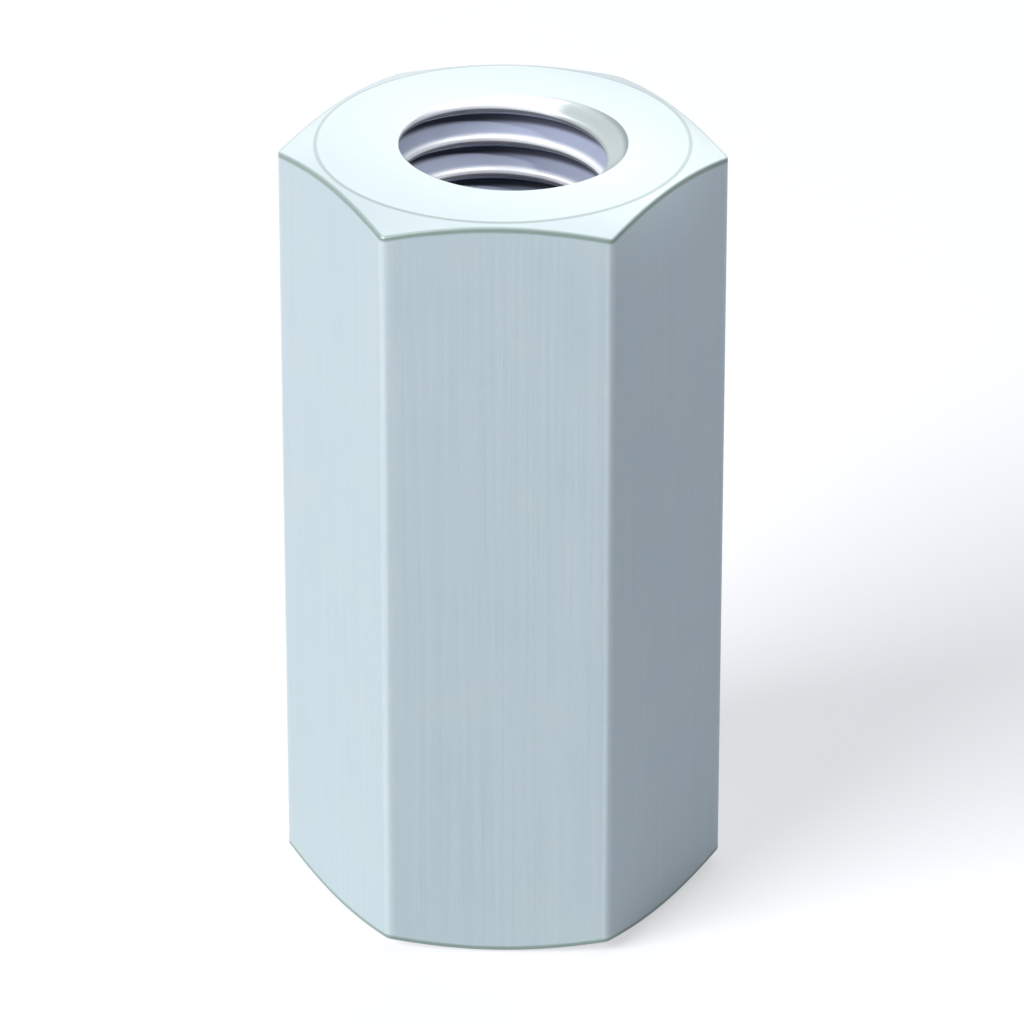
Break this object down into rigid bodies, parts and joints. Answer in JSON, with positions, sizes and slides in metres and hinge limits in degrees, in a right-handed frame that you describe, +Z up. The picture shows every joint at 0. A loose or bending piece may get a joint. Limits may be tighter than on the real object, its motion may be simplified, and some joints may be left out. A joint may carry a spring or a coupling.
{
  "type": "coupling nut",
  "caption": "Long hexagonal nut with a through thread that joins two threaded rods end to end, chamfered all round at both ends.",
  "frame": {"origin": "centre of the lower end face, on the thread's axis, where the nut stands on a flat surface", "axes": "+Z up along the thread's axis, X through two opposite corners of the hexagon, Y square to two opposite flats"},
  "size_m": [0.0218, 0.019, 0.04],
  "materials": {
    "zinc_plated_steel": "bright zinc plating with a pale blue passivation, satin, with faint drawing lines along the flats and turning marks on the ends"
  },
  "bodies": {
    "root": {"nut_body": "zinc_plated_steel"}
  },
  "joints": []
}
